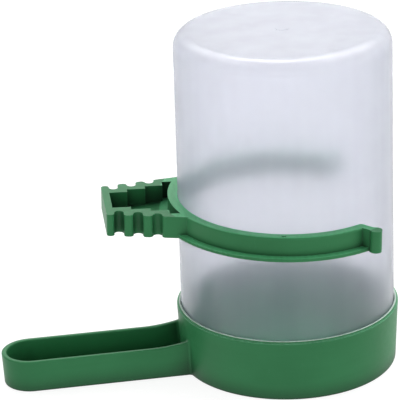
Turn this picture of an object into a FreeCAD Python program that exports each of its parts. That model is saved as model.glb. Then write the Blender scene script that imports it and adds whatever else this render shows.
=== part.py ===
import FreeCAD, Part
import math
import os
import Sketcher

# Cage-bird and poultry siphon drinker. Three plastic mouldings:
#   water_jar    translucent closed-top jar that stands open end down in the cup
#   trough_base  cup with a ledge for the jar's rim, a window low in its wall, a
#                long open drinking trough and a guide fin inside the window
#   cage_clip    C-shaped ring round the jar with a hollow notched wedge that
#                pushes between two cage wires
# Frame: origin at the centre of the cup's underside on the jar's axis, +Z up,
# the trough pointing along -X. Millimetres.

V = FreeCAD.Vector

doc = FreeCAD.newDocument("waterer_fount")
sheet = doc.addObject("Spreadsheet::Sheet", "Dims")

TABLE = [
    # cup
    ("cup_radius_low", 38.05), ("cup_radius_rim", 38.95), ("cup_height", 22.05),
    ("cup_floor", 1.6), ("cup_seat_radius", 37.58), ("cup_mouth_radius", 37.66),
    ("ledge_height", 11.55), ("ledge_radius", 35.90), ("foot_round", 0.8),
    ("rim_round", 0.2), ("seat_gap", 0.05), ("rim_step", 0.75), ("rim_lip", 0.62),
    # window between the cup and the trough
    ("window_half", 7.9), ("window_top", 7.0),
    # trough
    ("trough_half", 10.4), ("trough_half_low", 9.75), ("trough_reach", 101.9),
    ("trough_height", 11.6), ("trough_wall", 1.85), ("trough_shoulder", 13.4),
    ("shoulder_start", 50.5), ("trough_lip_round", 0.55),
    ("trough_root_round", 1.0),
    # guide fin inside the window
    ("fin_inner", 26.3), ("fin_outer", 34.4), ("fin_top", 32.0),
    ("fin_top_outer", 29.4), ("fin_shoulder", 10.0), ("fin_thickness", 2.0),
    ("fin_round", 0.9),
    # jar
    ("jar_radius_rim", 37.50), ("jar_radius_top", 37.20), ("jar_wall", 1.3),
    ("jar_corner", 5.4), ("jar_height", 109.14), ("jar_crown", 1.5),
    ("jar_rim_round", 0.35), ("gate_radius", 2.4), ("gate_rise", 0.12),
    # clip ring
    ("ring_bore", 37.65), ("ring_outer", 40.95), ("ring_height", 7.8),
    ("ring_level", 53.83), ("ring_half_angle", 121.8), ("ring_round", 0.75),
    ("flange_radius", 43.5), ("flange_thickness", 1.3), ("flange_half_angle", 121.6),
    ("flange_round", 0.4), ("clip_turn", -3.68), ("clip_tilt", 1.81),
    ("clip_tilt_axis", 45.8),
    # clip ends
    ("bead_reach", 44.8), ("bead_angle", 123.8), ("bead_radius", 2.1),
    ("lip_half", 1.35),
    ("nub_x", 6.4), ("nub_y", 38.75), ("nub_radius", 0.75), ("nub_rise", 0.3),
    # wedge
    ("wedge_tip", 63.2), ("wedge_tip_half", 13.0), ("wedge_root_half", 19.0),
    ("wedge_floor", 1.8), ("notch_first", 58.94), ("notch_pitch", 6.4),
    ("notch_half", 1.6), ("notch_depth_one", 4.0), ("notch_depth_two", 3.4),
    ("notch_depth_three", 2.7), ("tooth_round", 1.3),
    ("wedge_tip_round", 1.3),
    ("cavity_tip", 60.75), ("cavity_half_tip", 6.85), ("cavity_half_two", 9.1),
    ("cavity_half_three", 11.3), ("cavity_half_root", 14.6),
    ("cavity_step_one", 54.45), ("cavity_step_two", 48.0), ("cavity_step_three", 41.8),
]
VALUES = {}
for number, (alias, value) in enumerate(TABLE, start=1):
    sheet.set("A%d" % number, alias)
    sheet.set("B%d" % number, "%g" % value)
    sheet.setAlias("B%d" % number, alias)
    VALUES[alias] = float(value)
doc.recompute()


class Dim:
    """A length that knows its number and the sheet expression that drives it."""

    def __init__(self, value, text):
        self.value = float(value)
        self.text = text

    @staticmethod
    def of(other):
        if isinstance(other, Dim):
            return other
        return Dim(other, "(%.9g)" % other)

    def __add__(self, other):
        other = Dim.of(other)
        return Dim(self.value + other.value, "(%s + %s)" % (self.text, other.text))

    __radd__ = __add__

    def __sub__(self, other):
        other = Dim.of(other)
        return Dim(self.value - other.value, "(%s - %s)" % (self.text, other.text))

    def __rsub__(self, other):
        return Dim.of(other) - self

    def __mul__(self, other):
        other = Dim.of(other)
        return Dim(self.value * other.value, "(%s * %s)" % (self.text, other.text))

    __rmul__ = __mul__

    def __truediv__(self, other):
        other = Dim.of(other)
        return Dim(self.value / other.value, "(%s / %s)" % (self.text, other.text))

    def __neg__(self):
        return Dim(-self.value, "(0 - %s)" % self.text)

    def sqrt(self):
        return Dim(math.sqrt(self.value), "sqrt(%s)" % self.text)

    def cos(self):
        return Dim(math.cos(math.radians(self.value)), "cos(%s * 1 deg)" % self.text)

    def sin(self):
        return Dim(math.sin(math.radians(self.value)), "sin(%s * 1 deg)" % self.text)


def D(alias):
    return Dim(VALUES[alias], "Dims.%s" % alias)


ZERO = Dim(0.0, "0")


def new_body(label):
    body = doc.addObject("PartDesign::Body", label)
    body.Label = label
    return body


def origin_plane(body, role):
    return [o for o in body.Origin.OriginFeatures if o.Role == role][0]


class Profile:
    """A sketch on one of its body's origin planes, every vertex driven by the sheet."""

    def __init__(self, body, name, role="XY_Plane", level=None):
        self.sk = body.newObject("Sketcher::SketchObject", name)
        self.sk.AttachmentSupport = [(origin_plane(body, role), "")]
        self.sk.MapMode = "FlatFace"
        if level is not None:
            self.sk.AttachmentOffset = FreeCAD.Placement(V(0, 0, level.value), FreeCAD.Rotation())
            self.sk.setExpression("AttachmentOffset.Base.z", level.text)

    def _drive(self, kind, geo, pos, dim):
        if abs(dim.value) < 1e-9:
            axis = -2 if kind == "DistanceX" else -1
            self.sk.addConstraint(Sketcher.Constraint("PointOnObject", geo, pos, axis))
            return
        index = self.sk.addConstraint(Sketcher.Constraint(kind, -1, 1, geo, pos, dim.value))
        self.sk.setExpression("Constraints[%d]" % index, dim.text)

    def loop(self, points, arcs=None):
        """Closed wire through points. arcs maps a segment's number to
        (centre x, centre y, counter-clockwise, which centre coordinate is driven)."""
        arcs = arcs or {}
        count = len(points)
        ends = []
        for i in range(count):
            ax, ay = points[i][0].value, points[i][1].value
            bx, by = points[(i + 1) % count][0].value, points[(i + 1) % count][1].value
            if i in arcs:
                cx, cy, ccw, _ = arcs[i]
                radius = math.hypot(ax - cx.value, ay - cy.value)
                start = math.atan2(ay - cy.value, ax - cx.value)
                stop = math.atan2(by - cy.value, bx - cx.value)
                if not ccw:
                    start, stop = stop, start
                while stop <= start:
                    stop += 2 * math.pi
                circle = Part.Circle(V(cx.value, cy.value, 0), V(0, 0, 1), radius)
                geo = self.sk.addGeometry(Part.ArcOfCircle(circle, start, stop), False)
                ends.append((geo, 1, 2) if ccw else (geo, 2, 1))
            else:
                geo = self.sk.addGeometry(Part.LineSegment(V(ax, ay, 0), V(bx, by, 0)), False)
                ends.append((geo, 1, 2))
        for i in range(count):
            here, after = ends[i], ends[(i + 1) % count]
            self.sk.addConstraint(Sketcher.Constraint("Coincident", here[0], here[2], after[0], after[1]))
        for i in range(count):
            self._drive("DistanceX", ends[i][0], ends[i][1], points[i][0])
            self._drive("DistanceY", ends[i][0], ends[i][1], points[i][1])
        for i, (cx, cy, _, which) in arcs.items():
            self._drive("DistanceX" if which == "x" else "DistanceY", ends[i][0], 3, cx if which == "x" else cy)
        return self

    def circle(self, x, y, radius):
        geo = self.sk.addGeometry(Part.Circle(V(x.value, y.value, 0), V(0, 0, 1), radius.value), False)
        self._drive("DistanceX", geo, 3, x)
        self._drive("DistanceY", geo, 3, y)
        index = self.sk.addConstraint(Sketcher.Constraint("Radius", geo, radius.value))
        self.sk.setExpression("Constraints[%d]" % index, radius.text)
        return self


def extrude(body, kind, profile, name, length, symmetric=False, reverse=False):
    f = body.newObject("PartDesign::" + kind, name)
    f.Profile = profile.sk
    f.Length = length.value
    f.setExpression("Length", length.text)
    f.SideType = "Symmetric" if symmetric else "One side"
    f.Reversed = reverse
    doc.recompute()
    return f


def revolve(body, kind, profile, name, angle=None):
    f = body.newObject("PartDesign::" + kind, name)
    f.Profile = profile.sk
    f.ReferenceAxis = (profile.sk, ["V_Axis"])
    f.Angle = 360.0
    if angle is not None:
        f.Midplane = True
        f.Angle = angle.value
        f.setExpression("Angle", angle.text)
    doc.recompute()
    return f


def fillet(body, base, name, radius, choose, least=1):
    """Round the edges of the last feature that choose() accepts."""
    names = []
    for number, edge in enumerate(base.Shape.Edges, start=1):
        if choose(edge):
            names.append("Edge%d" % number)
    if len(names) < least:
        raise RuntimeError("%s: only %d edges found" % (name, len(names)))
    f = body.newObject("PartDesign::Fillet", name)
    f.Base = (base, names)
    f.Radius = radius.value
    f.setExpression("Radius", radius.text)
    doc.recompute()
    if "Invalid" in f.State or "Error" in f.State or f.Shape.isNull() or not f.Shape.isValid():
        raise RuntimeError("%s failed on %s" % (name, ", ".join(names)))
    return f


def volume_change(feature, before, low, high):
    """A cut or a pad that misses the solid changes nothing, so compare volumes."""
    change = feature.Shape.Volume - before
    if not low <= change <= high:
        raise RuntimeError("%s changed the volume by %.1f mm3" % (feature.Name, change))
    return feature.Shape.Volume


def flat_at(edge, z, tol=0.02):
    box = edge.BoundBox
    return abs(box.ZMin - z) < tol and abs(box.ZMax - z) < tol


def ring_edge(edge, radius, z, tol=0.05):
    """A horizontal circular edge about the jar's axis."""
    if not flat_at(edge, z) or edge.Curve.TypeId != "Part::GeomCircle":
        return False
    return math.hypot(edge.Curve.Center.x, edge.Curve.Center.y) < tol and abs(edge.Curve.Radius - radius) < tol


def upright(edge, length):
    box = edge.BoundBox
    return box.XLength < 0.6 and box.YLength < 0.6 and box.ZLength > length


# ---------------------------------------------------------------- trough_base
base = new_body("trough_base")
top = D("trough_shoulder")
half = D("trough_half")
inside = D("trough_half") - D("trough_wall")
half_low = D("trough_half_low")
centre = D("trough_half") - D("trough_reach")
root_x = Dim(-30.0, "(-30)")

low = Profile(base, "TroughLow").loop(
    [(root_x, -half_low), (root_x, half_low), (centre, half_low), (centre, -half_low)],
    {2: (centre, ZERO, True, "x")})
high = Profile(base, "TroughHigh", level=top).loop(
    [(root_x, -half), (root_x, half), (centre, half), (centre, -half)],
    {2: (centre, ZERO, True, "x")})
hull = base.newObject("PartDesign::AdditiveLoft", "TroughHull")
hull.Profile = low.sk
hull.Sections = [high.sk]
hull.Ruled = True
doc.recompute()
volume = hull.Shape.Volume

# The wall tops run level and sweep up to the shoulder over the last stretch.
sweep_x = -D("shoulder_start")
end_x = Dim(-36.5, "(-36.5)")
far_x = Dim(-106.0, "(-106)")
sky = D("trough_shoulder") + 6
rise = top - D("trough_height")
run = end_x - sweep_x
sweep_radius = (run * run + rise * rise) / (rise * 2)
top_line = Profile(base, "TroughTopLine", "XZ_Plane").loop(
    [(far_x, sky), (far_x, D("trough_height")), (sweep_x, D("trough_height")),
     (end_x, top), (end_x, sky)],
    {2: (sweep_x, D("trough_height") + sweep_radius, True, "x")})
cut = extrude(base, "Pocket", top_line, "TroughTopCut", half * 3, symmetric=True)
volume = volume_change(cut, volume, -6000, -1500)

# Inside of the trough. The cup, added next, closes its inner end.
floor = D("cup_floor")
bore_x = Dim(-33.0, "(-33)")
channel = Profile(base, "TroughChannel", level=floor).loop(
    [(bore_x, -inside), (bore_x, inside), (centre, inside), (centre, -inside)],
    {2: (centre, ZERO, True, "x")})
bore = extrude(base, "Pocket", channel, "TroughBore", sky, reverse=True)
volume = volume_change(bore, volume, -13500, -7000)


def trough_lip(edge, width):
    """An edge along the top of the trough's wall, width from the middle plane."""
    box = edge.BoundBox
    if box.ZMin < D("trough_height").value - 0.05 or box.ZMax > top.value + 0.05:
        return False
    if box.XMax > end_x.value + 0.05 or box.XLength < 3:
        return False
    return abs(max(abs(box.YMin), abs(box.YMax)) - width) < 0.15


lip = fillet(base, bore, "TroughLip", D("trough_lip_round"),
             lambda e: trough_lip(e, half.value) or trough_lip(e, inside.value), 8)
volume = lip.Shape.Volume

cup_low, cup_rim, cup_top = D("cup_radius_low"), D("cup_radius_rim"), D("cup_height")
# The rim is stepped: a thin raised lip inside a narrow ledge.
step_z = cup_top - D("rim_step")
lip_out = D("cup_mouth_radius") + D("rim_lip")
cup_outline = Profile(base, "CupOutline", "XZ_Plane").loop(
    [(ZERO, ZERO), (cup_low, ZERO), (cup_rim, step_z), (lip_out, step_z), (lip_out, cup_top),
     (ZERO, cup_top)])
cup = revolve(base, "Revolution", cup_outline, "Cup")
volume = volume_change(cup, volume, 60000, 110000)

root = fillet(base, cup, "TroughRootRound", D("trough_root_round"),
              lambda e: abs(abs(e.BoundBox.Center.y) - (half.value + half_low.value) / 2) < 0.35
              and e.BoundBox.ZLength > 6 and e.BoundBox.XMax > -39.5 and e.BoundBox.XMin < -36, 2)
foot = fillet(base, root, "FootRound", D("foot_round"), lambda e: flat_at(e, 0), 4)
volume = foot.Shape.Volume

hollow = Profile(base, "CupHollow", "XZ_Plane").loop(
    [(ZERO, floor), (D("ledge_radius"), floor), (D("ledge_radius"), D("ledge_height")),
     (D("cup_seat_radius"), D("ledge_height")), (D("cup_mouth_radius"), cup_top),
     (D("cup_mouth_radius"), cup_top + 3), (ZERO, cup_top + 3)])
groove = revolve(base, "Groove", hollow, "CupBore")
volume = volume_change(groove, volume, -95000, -70000)

# Window low in the cup wall: its upper edge sets the drinking level.
win = D("window_half")
window = Profile(base, "Window", level=floor).loop(
    [(Dim(-41.0, "(-41)"), -win), (Dim(-33.0, "(-33)"), -win),
     (Dim(-33.0, "(-33)"), win), (Dim(-41.0, "(-41)"), win)])
slot = extrude(base, "Pocket", window, "WindowCut", D("window_top") - floor, reverse=True)
volume = volume_change(slot, volume, -420, -120)

# Guide fin that centres the jar as it comes down.
fin_shape = Profile(base, "FinShape", "XZ_Plane").loop(
    [(-D("fin_inner"), floor - 0.6), (-D("fin_inner"), D("fin_top")),
     (-D("fin_top_outer"), D("fin_top")), (-D("fin_outer"), D("fin_shoulder")),
     (-D("fin_outer"), floor - 0.6)])
fin = extrude(base, "Pad", fin_shape, "Fin", D("fin_thickness"), symmetric=True)
volume = volume_change(fin, volume, 200, 520)
fin2 = fillet(base, fin, "FinRound", D("fin_round"),
              lambda e: abs(e.BoundBox.ZMin - D("fin_top").value) < 0.02 and e.BoundBox.YLength > 1.5, 2)

rim = fillet(base, fin2, "RimRound", D("rim_round"),
             lambda e: ring_edge(e, cup_rim.value, step_z.value)
             or ring_edge(e, lip_out.value, cup_top.value)
             or ring_edge(e, D("cup_mouth_radius").value, cup_top.value), 3)

# ------------------------------------------------------------------ water_jar
jar = new_body("water_jar")
jr, jt, jc, jh, jw = (D("jar_radius_rim"), D("jar_radius_top"), D("jar_corner"),
                      D("jar_height"), D("jar_wall"))
crown = D("jar_crown")
corner_in = jc - jw
shell = Profile(jar, "JarSection", "XZ_Plane").loop(
    [(jr - jw, ZERO), (jr, ZERO), (jt, jh - jc), (jt - jc, jh), (ZERO, jh),
     (ZERO, jh - crown), (jt - jw - corner_in, jh - crown), (jt - jw, jh - crown - corner_in)],
    {2: (jt - jc, jh - jc, True, "x"),
     6: (jt - jw - corner_in, jh - crown - corner_in, False, "x")})
body_of_jar = revolve(jar, "Revolution", shell, "JarShell")
gate_mark = Profile(jar, "GateMark", level=jh - 0.1).circle(ZERO, ZERO, D("gate_radius"))
gate = extrude(jar, "Pad", gate_mark, "Gate", D("gate_rise") + 0.1)
jar_rim = fillet(jar, gate, "JarRimRound", D("jar_rim_round"),
                 lambda e: ring_edge(e, jr.value, 0) or ring_edge(e, (jr - jw).value, 0), 2)
seat = D("ledge_height") + D("seat_gap")
jar.Placement = FreeCAD.Placement(V(0, 0, seat.value), FreeCAD.Rotation())
jar.setExpression("Placement.Base.z", seat.text)

# ------------------------------------------------------------------ cage_clip
clip = new_body("cage_clip")
rb, ro, rh = D("ring_bore"), D("ring_outer"), D("ring_height")
middle = (rb + ro) / 2
web_section = Profile(clip, "WebSection", "XZ_Plane").loop(
    [(-ro, ZERO), (-rb, ZERO), (-rb, rh), (-ro, rh)])
web = revolve(clip, "Revolution", web_section, "Web", D("ring_half_angle") * 2)

ca, sa = D("ring_half_angle").cos(), D("ring_half_angle").sin()
elbow_x, elbow_y = -(middle * ca), middle * sa
elbow_round = Profile(clip, "ElbowRound").circle(elbow_x, elbow_y, (ro - rb) / 2)
elbow = extrude(clip, "Pad", elbow_round, "Elbow", rh)
bead_x, bead_y = -(D("bead_reach") * D("bead_angle").cos()), D("bead_reach") * D("bead_angle").sin()
# The lip is a straight bar from the elbow to the bead.
dx, dy = bead_x - elbow_x, bead_y - elbow_y
span = (dx * dx + dy * dy).sqrt()
ox, oy = -(dy * D("lip_half") / span), dx * D("lip_half") / span
lip_bar = Profile(clip, "LipBar").loop(
    [(elbow_x + ox, elbow_y + oy), (elbow_x - ox, elbow_y - oy),
     (bead_x - ox, bead_y - oy), (bead_x + ox, bead_y + oy)])
bar = extrude(clip, "Pad", lip_bar, "Lip", rh)
bead_round = Profile(clip, "BeadRound").circle(bead_x, bead_y, D("bead_radius"))
bead = extrude(clip, "Pad", bead_round, "Bead", rh)
mirror = clip.newObject("PartDesign::Mirrored", "OtherEnd")
mirror.Originals = [elbow, bar, bead]
mirror.MirrorPlane = (origin_plane(clip, "XZ_Plane"), [""])
clip.Tip = mirror
doc.recompute()
volume = mirror.Shape.Volume

# Wedge outline, closed by an arc inside the web.
wt, wth, wrh = D("wedge_tip"), D("wedge_tip_half"), D("wedge_root_half")
root_at = -((middle * middle - wrh * wrh).sqrt())
wedge_outline = Profile(clip, "WedgeOutline").loop(
    [(-wt, wth), (-wt, -wth), (root_at, -wrh), (root_at, wrh)],
    {2: (ZERO, ZERO, False, "x")})
wedge = extrude(clip, "Pad", wedge_outline, "Wedge", rh)
volume = volume_change(wedge, volume, 4000, 7000)

# Three wire notches down each side, deeper towards the tip.
notches = Profile(clip, "WireNotches", level=rh)
slope = (wrh - wth) / (wt + root_at)
nh = D("notch_half")
out_y = Dim(26.0, "(26)")
for k, depth in enumerate(("notch_depth_one", "notch_depth_two", "notch_depth_three")):
    x = -(D("notch_first") - D("notch_pitch") * k)
    edge_y = wth + slope * (wt + x)
    deep_y = edge_y - D(depth) + nh
    notches.loop([(x + nh, deep_y), (x + nh, out_y), (x - nh, out_y), (x - nh, deep_y)],
                 {3: (x, deep_y, True, "y")})
    notches.loop([(x - nh, -deep_y), (x - nh, -out_y), (x + nh, -out_y), (x + nh, -deep_y)],
                 {3: (x, -deep_y, True, "y")})
notch = extrude(clip, "Pocket", notches, "Notches", rh + 2)
volume = volume_change(notch, volume, -700, -300)

teeth = fillet(clip, notch, "ToothRound", D("tooth_round"),
               lambda e: upright(e, 7) and -61.5 < e.BoundBox.Center.x < -42.5
               and abs(e.BoundBox.Center.y) > 13.2
               and abs(abs(e.BoundBox.Center.y)
                       - (wth.value + slope.value * (wt.value + e.BoundBox.Center.x))) < 0.25, 12)
tip = fillet(clip, teeth, "TipRound", D("wedge_tip_round"),
             lambda e: upright(e, 7) and e.BoundBox.Center.x < -62.0, 2)
volume = tip.Shape.Volume

# Cavity open at the top, its sides stepped to follow the notches.
c0, c1, c2, c3 = (D("cavity_tip"), D("cavity_step_one"), D("cavity_step_two"), D("cavity_step_three"))
h0, h1, h2, h3 = (D("cavity_half_tip"), D("cavity_half_two"), D("cavity_half_three"), D("cavity_half_root"))
arc_x = -((ro * ro - h3 * h3).sqrt())
cavity = Profile(clip, "Cavity", level=rh).loop(
    [(-c0, h0), (-c0, -h0), (-c1, -h0), (-c1, -h1), (-c2, -h1), (-c2, -h2), (-c3, -h2),
     (-c3, -h3), (arc_x, -h3), (arc_x, h3), (-c3, h3), (-c3, h2), (-c2, h2), (-c2, h1),
     (-c1, h1), (-c1, h0)],
    {8: (ZERO, ZERO, False, "x")})
hole = extrude(clip, "Pocket", cavity, "CavityCut", rh - D("wedge_floor"))
volume = volume_change(hole, volume, -3200, -1500)

# Flange round the foot of the ring.
flange_section = Profile(clip, "FlangeSection", "XZ_Plane").loop(
    [(-D("flange_radius"), ZERO), (-middle, ZERO), (-middle, D("flange_thickness")),
     (-D("flange_radius"), D("flange_thickness"))])
flange = revolve(clip, "Revolution", flange_section, "Flange", D("flange_half_angle") * 2)
volume = volume_change(flange, volume, 350, 1100)

crest = fillet(clip, flange, "CrestRound", D("ring_round"),
               lambda e: ring_edge(e, ro.value, rh.value) and e.BoundBox.XMax > 0, 2)
skirt = fillet(clip, crest, "FlangeRound", D("flange_round"),
               lambda e: ring_edge(e, D("flange_radius").value, 0)
               or ring_edge(e, D("flange_radius").value, D("flange_thickness").value), 2)
# Moulding gate left on top of the ring.
nub_shape = Profile(clip, "NubShape", level=rh - 0.15).circle(-D("nub_x"), -D("nub_y"), D("nub_radius"))
nub = extrude(clip, "Pad", nub_shape, "RingNub", D("nub_rise") + 0.15)
volume = volume_change(nub, skirt.Shape.Volume, 0.2, 2.0)

# The springy ring sits a little turned and tilted on the jar, about its own middle.
lean, lean_at = D("clip_tilt"), D("clip_tilt_axis")
half_up = rh / 2
seat_x = -(half_up * lean_at.sin() * lean.sin())
seat_y = half_up * lean_at.cos() * lean.sin()
seat_z = D("ring_level") + half_up * (1 - lean.cos())
tilt_line = V(lean_at.cos().value, lean_at.sin().value, 0)
clip.Placement = FreeCAD.Placement(
    V(seat_x.value, seat_y.value, seat_z.value),
    FreeCAD.Rotation(tilt_line, lean.value) * FreeCAD.Rotation(V(0, 0, 1), VALUES["clip_turn"]))
clip.setExpression("Placement.Base.x", seat_x.text)
clip.setExpression("Placement.Base.y", seat_y.text)
clip.setExpression("Placement.Base.z", seat_z.text)

# ------------------------------------------------------------------- checking
doc.recompute()
for obj in doc.Objects:
    if "Invalid" in obj.State or "Error" in obj.State:
        raise RuntimeError("%s is in state %s" % (obj.Name, obj.State))
PARTS = [base, jar, clip]
for part in PARTS:
    shape = part.Shape
    if shape.isNull() or not shape.isValid() or len(shape.Solids) != 1:
        raise RuntimeError("%s: null %s, valid %s, solids %d"
                           % (part.Label, shape.isNull(), shape.isValid(), len(shape.Solids)))
    box = shape.BoundBox
    print("%-12s volume %9.1f mm3  x %.2f..%.2f  y %.2f..%.2f  z %.2f..%.2f"
          % (part.Label, shape.Volume, box.XMin, box.XMax, box.YMin, box.YMax, box.ZMin, box.ZMax))

os.makedirs("parts", exist_ok=True)
for part in PARTS:
    part.Shape.exportStep("parts/%s.step" % part.Label)
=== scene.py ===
import bpy
import math
from mathutils import Matrix, Vector

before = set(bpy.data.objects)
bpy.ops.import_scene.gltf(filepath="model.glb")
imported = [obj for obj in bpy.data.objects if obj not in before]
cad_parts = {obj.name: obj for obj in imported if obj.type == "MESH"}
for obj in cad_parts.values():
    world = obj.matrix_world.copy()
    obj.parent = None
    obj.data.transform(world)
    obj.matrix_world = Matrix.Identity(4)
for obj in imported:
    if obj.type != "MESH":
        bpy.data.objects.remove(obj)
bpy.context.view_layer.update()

# ------------------------------------------------------------------ camera
ALPHA = math.radians(11.80)
F_PX, DIST = 2351.107, 0.8162017
EL, ROLL, YAW, PITCH = (math.radians(v) for v in (21.1607, -1.1058, 2.0798, 0.0567))
back = Vector((0.0, -math.cos(EL), math.sin(EL)))
right = Vector((1.0, 0.0, 0.0))
fwd = -back
up = right.cross(fwd)
r2 = right * math.cos(YAW) + fwd * math.sin(YAW)
f2 = fwd * math.cos(YAW) - right * math.sin(YAW)
u3 = up * math.cos(PITCH) + f2 * math.sin(PITCH)
f3 = f2 * math.cos(PITCH) - up * math.sin(PITCH)
r4 = r2 * math.cos(ROLL) + u3 * math.sin(ROLL)
u4 = u3 * math.cos(ROLL) - r2 * math.sin(ROLL)
spin = Matrix.Rotation(-ALPHA, 3, "Z")
place = spin @ (Vector((0.0, 0.0, 0.060)) + back * DIST)
axes = [spin @ v for v in (r4, u4, -f3)]
cam_data = bpy.data.cameras.new("view")
cam_data.sensor_width = 36.0
cam_data.lens = F_PX / 400.0 * 36.0
cam_data.clip_start, cam_data.clip_end = 0.01, 50.0
cam = bpy.data.objects.new("view", cam_data)
scene = bpy.context.scene
scene.collection.objects.link(cam)
cam.matrix_world = Matrix(((axes[0].x, axes[1].x, axes[2].x, place.x),
                           (axes[0].y, axes[1].y, axes[2].y, place.y),
                           (axes[0].z, axes[1].z, axes[2].z, place.z),
                           (0.0, 0.0, 0.0, 1.0)))
scene.camera = cam
scene.view_settings.view_transform = "Standard"


# ------------------------------------------------------------------ node help
class Tree:
    """Short hand for building a node tree."""

    def __init__(self, tree):
        self.tree = tree

    def node(self, kind, **settings):
        n = self.tree.nodes.new(kind)
        for key, value in settings.items():
            setattr(n, key, value)
        return n

    def feed(self, socket, value):
        if isinstance(value, bpy.types.NodeSocket):
            self.tree.links.new(value, socket)
        else:
            socket.default_value = value

    def math(self, op, a, b=0.0, clamp=False):
        n = self.node("ShaderNodeMath", operation=op, use_clamp=clamp)
        self.feed(n.inputs[0], a)
        self.feed(n.inputs[1], b)
        return n.outputs[0]

    def ramp(self, value, lo, hi, out_lo=0.0, out_hi=1.0, smooth=True):
        n = self.node("ShaderNodeMapRange", interpolation_type="SMOOTHSTEP" if smooth else "LINEAR")
        self.feed(n.inputs["Value"], value)
        for key, v in (("From Min", lo), ("From Max", hi), ("To Min", out_lo), ("To Max", out_hi)):
            self.feed(n.inputs[key], v)
        return n.outputs["Result"]

    def mix(self, factor, a, b, blend="MIX"):
        n = self.node("ShaderNodeMix", data_type="RGBA", blend_type=blend)
        self.feed(n.inputs["Factor"], factor)
        self.feed(n.inputs[6], a)
        self.feed(n.inputs[7], b)
        return n.outputs[2]

    def dot(self, a, b):
        n = self.node("ShaderNodeVectorMath", operation="DOT_PRODUCT")
        self.feed(n.inputs[0], a)
        self.feed(n.inputs[1], b)
        return n.outputs["Value"]

    def place(self, vector, shift=(0, 0, 0), scale=(1, 1, 1)):
        n = self.node("ShaderNodeMapping")
        self.feed(n.inputs["Vector"], vector)
        n.inputs["Location"].default_value = shift
        n.inputs["Scale"].default_value = scale
        return n.outputs["Vector"]

    def noise(self, vector, scale, detail=2.0, rough=0.5):
        n = self.node("ShaderNodeTexNoise")
        self.feed(n.inputs["Vector"], vector)
        n.inputs["Scale"].default_value = scale
        n.inputs["Detail"].default_value = detail
        n.inputs["Roughness"].default_value = rough
        return n.outputs["Fac"]


# ------------------------------------------------------------------ stage
world = bpy.data.worlds.new("studio")
world.use_nodes = True
scene.world = world
w = Tree(world.node_tree)
bg = world.node_tree.nodes["Background"]
direction = w.node("ShaderNodeTexCoord").outputs["Generated"]
split = w.node("ShaderNodeSeparateXYZ")
w.feed(split.inputs[0], direction)
z = split.outputs["Z"]
far_way = spin @ Vector((0.0, 1.0, 0.0))
right_way = spin @ Vector((1.0, 0.0, 0.0))
behind = w.dot(direction, tuple(far_way))
aside = w.dot(direction, tuple(right_way))
# A white tent: bright low down behind and at the sides, dim above and in front.
low = w.ramp(z, 0.35, 0.80, 1.0, 0.0)
rear = w.ramp(behind, -0.80, 0.30, 0.19, 0.42)
sides = w.ramp(aside, -1.0, 1.0, 0.34, 0.86)
glow = w.math("MULTIPLY", low, w.math("ADD", rear, sides))
glow = w.math("ADD", glow, 0.13)
seen = w.node("ShaderNodeLightPath").outputs["Is Camera Ray"]
level = w.node("ShaderNodeMix", data_type="FLOAT")
w.feed(level.inputs[0], seen)
w.feed(level.inputs[2], glow)
w.feed(level.inputs[3], 1.0)
w.feed(bg.inputs["Strength"], level.outputs[0])
bg.inputs["Color"].default_value = (1.0, 1.0, 1.0, 1.0)


def new_object(name, mesh):
    obj = bpy.data.objects.new(name, mesh)
    scene.collection.objects.link(obj)
    return obj


# The table top is open under the base, a little inside its outline, so the underside can be seen from below.
size, steps = 7.0, 720
cup_foot, tip_x, half_foot = 0.0369, -0.0915, 0.0086
near, away = [], []
for k in range(steps):
    turn = 2.0 * math.pi * k / steps
    cx, sy = math.cos(turn), math.sin(turn)
    reach = cup_foot
    if cx < 0.0:
        side = half_foot / max(abs(sy), 1e-9)
        if side * cx < tip_x:
            along = tip_x * cx
            inside = along * along - tip_x * tip_x + half_foot * half_foot
            side = along + math.sqrt(inside) if inside > 0.0 else 0.0
        reach = max(reach, side)
    near.append((reach * cx, reach * sy, -0.00003))
    away.append((size * cx, size * sy, -0.00003))
mesh = bpy.data.meshes.new("floor")
mesh.from_pydata(near + away, [], [(k, steps + k, steps + (k + 1) % steps, (k + 1) % steps) for k in range(steps)])
floor = new_object("floor", mesh)
mat = bpy.data.materials.new("floor")
mat.use_nodes = True
f = Tree(mat.node_tree)
p = mat.node_tree.nodes["Principled BSDF"]
p.inputs["Base Color"].default_value = (0.25, 0.25, 0.25, 1)
p.inputs["Roughness"].default_value = 0.9
p.inputs["Specular IOR Level"].default_value = 0.0
p.inputs["Emission Color"].default_value = (1.0, 1.0, 1.0, 1)
# A lit table: it glows white, and throws less light than it shows.
path = f.node("ShaderNodeLightPath")
shown = f.ramp(path.outputs["Is Camera Ray"], 0.0, 1.0, 0.44, 0.87, False)
through = f.math("MULTIPLY", path.outputs["Is Transmission Ray"], 0.15)
through = f.math("MAXIMUM", through, f.math("MULTIPLY", path.outputs["Is Glossy Ray"], 0.30))
f.feed(p.inputs["Emission Strength"], f.math("ADD", shown, through))
mesh.materials.append(mat)


def area(name, place, target, wide, tall, power, colour=(1, 1, 1)):
    light = bpy.data.lights.new(name, "AREA")
    light.shape = "RECTANGLE"
    light.size, light.size_y = wide, tall
    light.energy = power
    light.color = colour
    obj = bpy.data.objects.new(name, light)
    scene.collection.objects.link(obj)
    obj.location = place
    obj.rotation_euler = (Vector(target) - Vector(place)).to_track_quat("-Z", "Y").to_euler()
    return obj


area("canopy", spin @ Vector((0.05, 0.55, 0.90)), (0, 0, 0.05), 1.50, 0.80, 9.9)
area("strip_left", spin @ Vector((-0.50, -0.08, 0.90)), (0, 0, 0.10), 0.40, 0.30, 1.4)
area("strip_right", spin @ Vector((0.50, -0.08, 0.90)), (0, 0, 0.10), 0.40, 0.30, 1.4)


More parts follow.
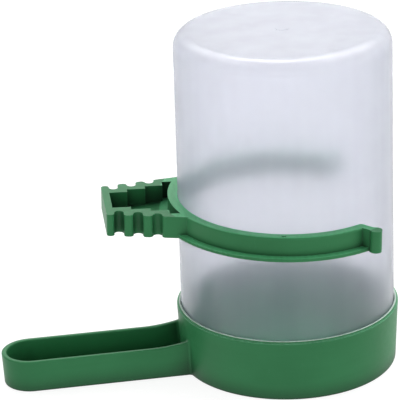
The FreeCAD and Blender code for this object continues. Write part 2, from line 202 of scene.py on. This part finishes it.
# ------------------------------------------------------------------ materials
def edge_mask(t, radius, soft=0.045):
    """1 on edges and corners, 0 on flats, from how far a rounded normal leans."""
    bevel = t.node("ShaderNodeBevel", samples=6)
    bevel.inputs["Radius"].default_value = radius
    lean = t.dot(bevel.outputs["Normal"], t.node("ShaderNodeNewGeometry").outputs["Normal"])
    return t.ramp(lean, 1.0 - soft, 1.0 - soft * 0.06, 1.0, 0.0)


def moulded_green(name, deep, pale, worn, shift, grain, rim=False, bore=False):
    """Satin moulded polypropylene: flow-marked colour, fine grain, worn edges, painted shade in hollows and painted
    light on some faces.
    """
    m = bpy.data.materials.new(name)
    m.use_nodes = True
    t = Tree(m.node_tree)
    b = m.node_tree.nodes["Principled BSDF"]
    at = t.place(t.node("ShaderNodeTexCoord").outputs["Object"], shift)
    cloud = t.noise(at, 42.0, 2.0)
    flow = t.noise(t.place(at, scale=(16.0, 16.0, 150.0)), 1.0, 3.0, 0.6)
    peel = t.noise(at, grain, 2.0)
    speck = t.noise(at, 2600.0, 1.0)
    scuff = t.noise(t.place(at, scale=(900.0, 160.0, 420.0)), 1.0, 4.0, 0.7)
    tone = t.math("ADD", t.math("MULTIPLY", cloud, 0.6), t.math("MULTIPLY", flow, 0.4))
    colour = t.mix(t.ramp(tone, 0.34, 0.66), deep, pale)
    edge = t.math("MULTIPLY", edge_mask(t, 0.0006), t.ramp(scuff, 0.30, 0.66, 0.30, 1.0), True)
    rub = t.math("MULTIPLY", t.ramp(scuff, 0.60, 0.78), 0.10)
    colour = t.mix(t.math("MAXIMUM", t.math("MULTIPLY", edge, 0.18), rub), colour, worn)
    # Painted shade: hollows and inside corners are darkened by ambient occlusion, so they look deeper.
    shade_ao = t.node("ShaderNodeAmbientOcclusion", samples=8)
    shade_ao.inputs["Distance"].default_value = 0.010
    open_sky = t.ramp(shade_ao.outputs["AO"], 0.22, 0.92)
    colour = t.mix(open_sky, t.mix(1.0, colour, (0.42, 0.22, 0.30, 1), "MULTIPLY"), colour)
    spot = t.node("ShaderNodeTexCoord").outputs["Object"]
    here = t.node("ShaderNodeSeparateXYZ")
    t.feed(here.inputs[0], spot)
    reach = t.node("ShaderNodeVectorMath", operation="LENGTH")
    t.feed(reach.inputs[0], t.place(spot, scale=(1.0, 1.0, 0.0)))
    if bore:
        # Painted light: the face that slides on the jar is painted paler, so it reads lit when seen through the jar.
        painted_pale_bore = t.math("MULTIPLY", t.ramp(reach.outputs["Value"], 0.0379, 0.0382, 1.0, 0.0),
                        t.ramp(cloud, 0.25, 0.75, 0.70, 0.92))
        colour = t.mix(painted_pale_bore, colour, (0.046, 0.320, 0.145, 1))
        # Painted light: its upward faces are painted brighter, as where the top light falls.
        lie = t.node("ShaderNodeSeparateXYZ")
        t.feed(lie.inputs[0], t.node("ShaderNodeNewGeometry").outputs["Normal"])
        painted_top_light = t.math("MULTIPLY", t.ramp(lie.outputs["Z"], 0.60, 0.90),
                       t.ramp(reach.outputs["Value"], 0.0436, 0.0442, 1.0, 0.0))
        colour = t.mix(t.math("MULTIPLY", painted_top_light, t.ramp(scuff, 0.2, 0.7, 0.50, 0.75)), colour, (0.10, 0.48, 0.21, 1))
    if rim:
        # Painted light: the inside wall of the cup is painted paler, standing in for light seen through the jar, and
        # the rim's thin top edge, where the jar sits, is painted pale as a highlight line.
        inner = t.math("MULTIPLY", t.ramp(reach.outputs["Value"], 0.0374, 0.0379, 1.0, 0.0),
                       t.math("MULTIPLY", t.ramp(here.outputs["Z"], 0.0010, 0.0015),
                              t.ramp(here.outputs["Z"], 0.0195, 0.0205, 1.0, 0.0)))
        painted_light_inside = t.math("MULTIPLY", inner, t.ramp(cloud, 0.25, 0.75, 0.66, 0.88))
        colour = t.mix(painted_light_inside, colour, (0.044, 0.320, 0.140, 1))
        # Painted highlight: a lighter band round the rim's outer edge.
        painted_ledge_highlight = t.math("MULTIPLY", t.ramp(here.outputs["Z"], 0.02116, 0.02124),
                       t.ramp(here.outputs["Z"], 0.02145, 0.02160, 1.0, 0.0))
        colour = t.mix(t.math("MULTIPLY", painted_ledge_highlight, t.ramp(scuff, 0.2, 0.7, 0.45, 0.70)), colour, (0.17, 0.52, 0.28, 1))
        # Painted highlight: a pale line along the rim's thin top edge.
        painted_lip_highlight = t.math("MULTIPLY", t.ramp(here.outputs["Z"], 0.02180, 0.02198),
                     t.ramp(here.outputs["Z"], 0.0225, 0.0230, 1.0, 0.0))
        colour = t.mix(t.math("MULTIPLY", painted_lip_highlight, t.ramp(scuff, 0.2, 0.7, 0.62, 0.92)), colour, (0.66, 0.80, 0.72, 1))
    t.feed(b.inputs["Base Color"], colour)
    rough = t.ramp(peel, 0.25, 0.75, 0.33, 0.42, False)
    rough = t.math("ADD", rough, t.math("MULTIPLY", edge, 0.10))
    rough = t.math("ADD", rough, t.math("MULTIPLY", t.ramp(cloud, 0.3, 0.7), 0.05))
    t.feed(b.inputs["Roughness"], rough)
    height = t.math("ADD", peel, t.math("MULTIPLY", speck, 0.25))
    height = t.math("ADD", height, t.math("MULTIPLY", flow, 0.8))
    bump = t.node("ShaderNodeBump")
    bump.inputs["Strength"].default_value = 0.28
    bump.inputs["Distance"].default_value = 0.00006
    t.feed(bump.inputs["Height"], height)
    t.feed(b.inputs["Normal"], bump.outputs["Normal"])
    b.inputs["IOR"].default_value = 1.49
    b.inputs["Specular IOR Level"].default_value = 0.24
    return m


def frosted(name):
    """Cloudy natural polypropylene: a clear image, a wide soft haze and a little milk."""
    m = bpy.data.materials.new(name)
    m.use_nodes = True
    t = Tree(m.node_tree)
    b = m.node_tree.nodes["Principled BSDF"]
    out = m.node_tree.nodes["Material Output"]
    at = t.node("ShaderNodeTexCoord").outputs["Object"]
    cloud = t.noise(at, 30.0, 3.0)
    flow = t.noise(t.place(at, scale=(90.0, 90.0, 9.0)), 1.0, 2.0)
    peel = t.noise(at, 420.0, 2.0)
    tone = t.math("ADD", t.math("MULTIPLY", cloud, 0.6), t.math("MULTIPLY", flow, 0.4))
    colour = t.mix(t.ramp(tone, 0.34, 0.66), (0.981, 0.966, 1.0, 1), (0.985, 0.970, 1.0, 1))
    t.feed(b.inputs["Base Color"], colour)
    t.feed(b.inputs["Roughness"], t.ramp(peel, 0.25, 0.75, 0.17, 0.22, False))
    b.inputs["Transmission Weight"].default_value = 0.97
    b.inputs["IOR"].default_value = 1.45
    bump = t.node("ShaderNodeBump")
    bump.inputs["Strength"].default_value = 0.03
    bump.inputs["Distance"].default_value = 0.00006
    t.feed(bump.inputs["Height"], t.math("ADD", t.math("MULTIPLY", cloud, 0.5), t.math("MULTIPLY", peel, 0.2)))
    t.feed(b.inputs["Normal"], bump.outputs["Normal"])
    haze = t.node("ShaderNodeBsdfGlass", distribution="MULTI_GGX")
    haze.inputs["IOR"].default_value = 1.45
    t.feed(haze.inputs["Color"], t.mix(t.ramp(tone, 0.34, 0.66), (0.977, 0.958, 1.0, 1), (0.981, 0.962, 1.0, 1)))
    t.feed(haze.inputs["Roughness"], t.ramp(cloud, 0.3, 0.7, 0.50, 0.56, False))
    t.feed(haze.inputs["Normal"], bump.outputs["Normal"])
    milk = t.node("ShaderNodeBsdfTranslucent")
    t.feed(milk.inputs["Color"], t.mix(t.ramp(tone, 0.34, 0.66), (0.70, 0.88, 1.0, 1), (0.76, 0.92, 1.0, 1)))
    one = t.node("ShaderNodeMixShader")
    t.feed(one.inputs[0], t.ramp(tone, 0.3, 0.7, 0.27, 0.32))
    t.feed(one.inputs[1], b.outputs["BSDF"])
    t.feed(one.inputs[2], haze.outputs["BSDF"])
    two = t.node("ShaderNodeMixShader")
    t.feed(two.inputs[0], t.ramp(tone, 0.3, 0.7, 0.09, 0.12))
    t.feed(two.inputs[1], one.outputs["Shader"])
    t.feed(two.inputs[2], milk.outputs["BSDF"])
    t.feed(out.inputs["Surface"], two.outputs["Shader"])
    return m


mats = {"trough_base": moulded_green("base_green", (0.029, 0.190, 0.069, 1), (0.037, 0.222, 0.083, 1),
                                     (0.130, 0.400, 0.210, 1), (0.3, 0.1, 0.7), 650.0, True),
        "cage_clip": moulded_green("clip_green", (0.029, 0.190, 0.067, 1), (0.037, 0.224, 0.083, 1),
                                   (0.150, 0.430, 0.230, 1), (1.3, 2.1, 0.2), 720.0, bore=True),
        "water_jar": frosted("jar_frosted")}
for name, m in mats.items():
    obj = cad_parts[name]
    for slot in obj.material_slots:
        slot.material = m
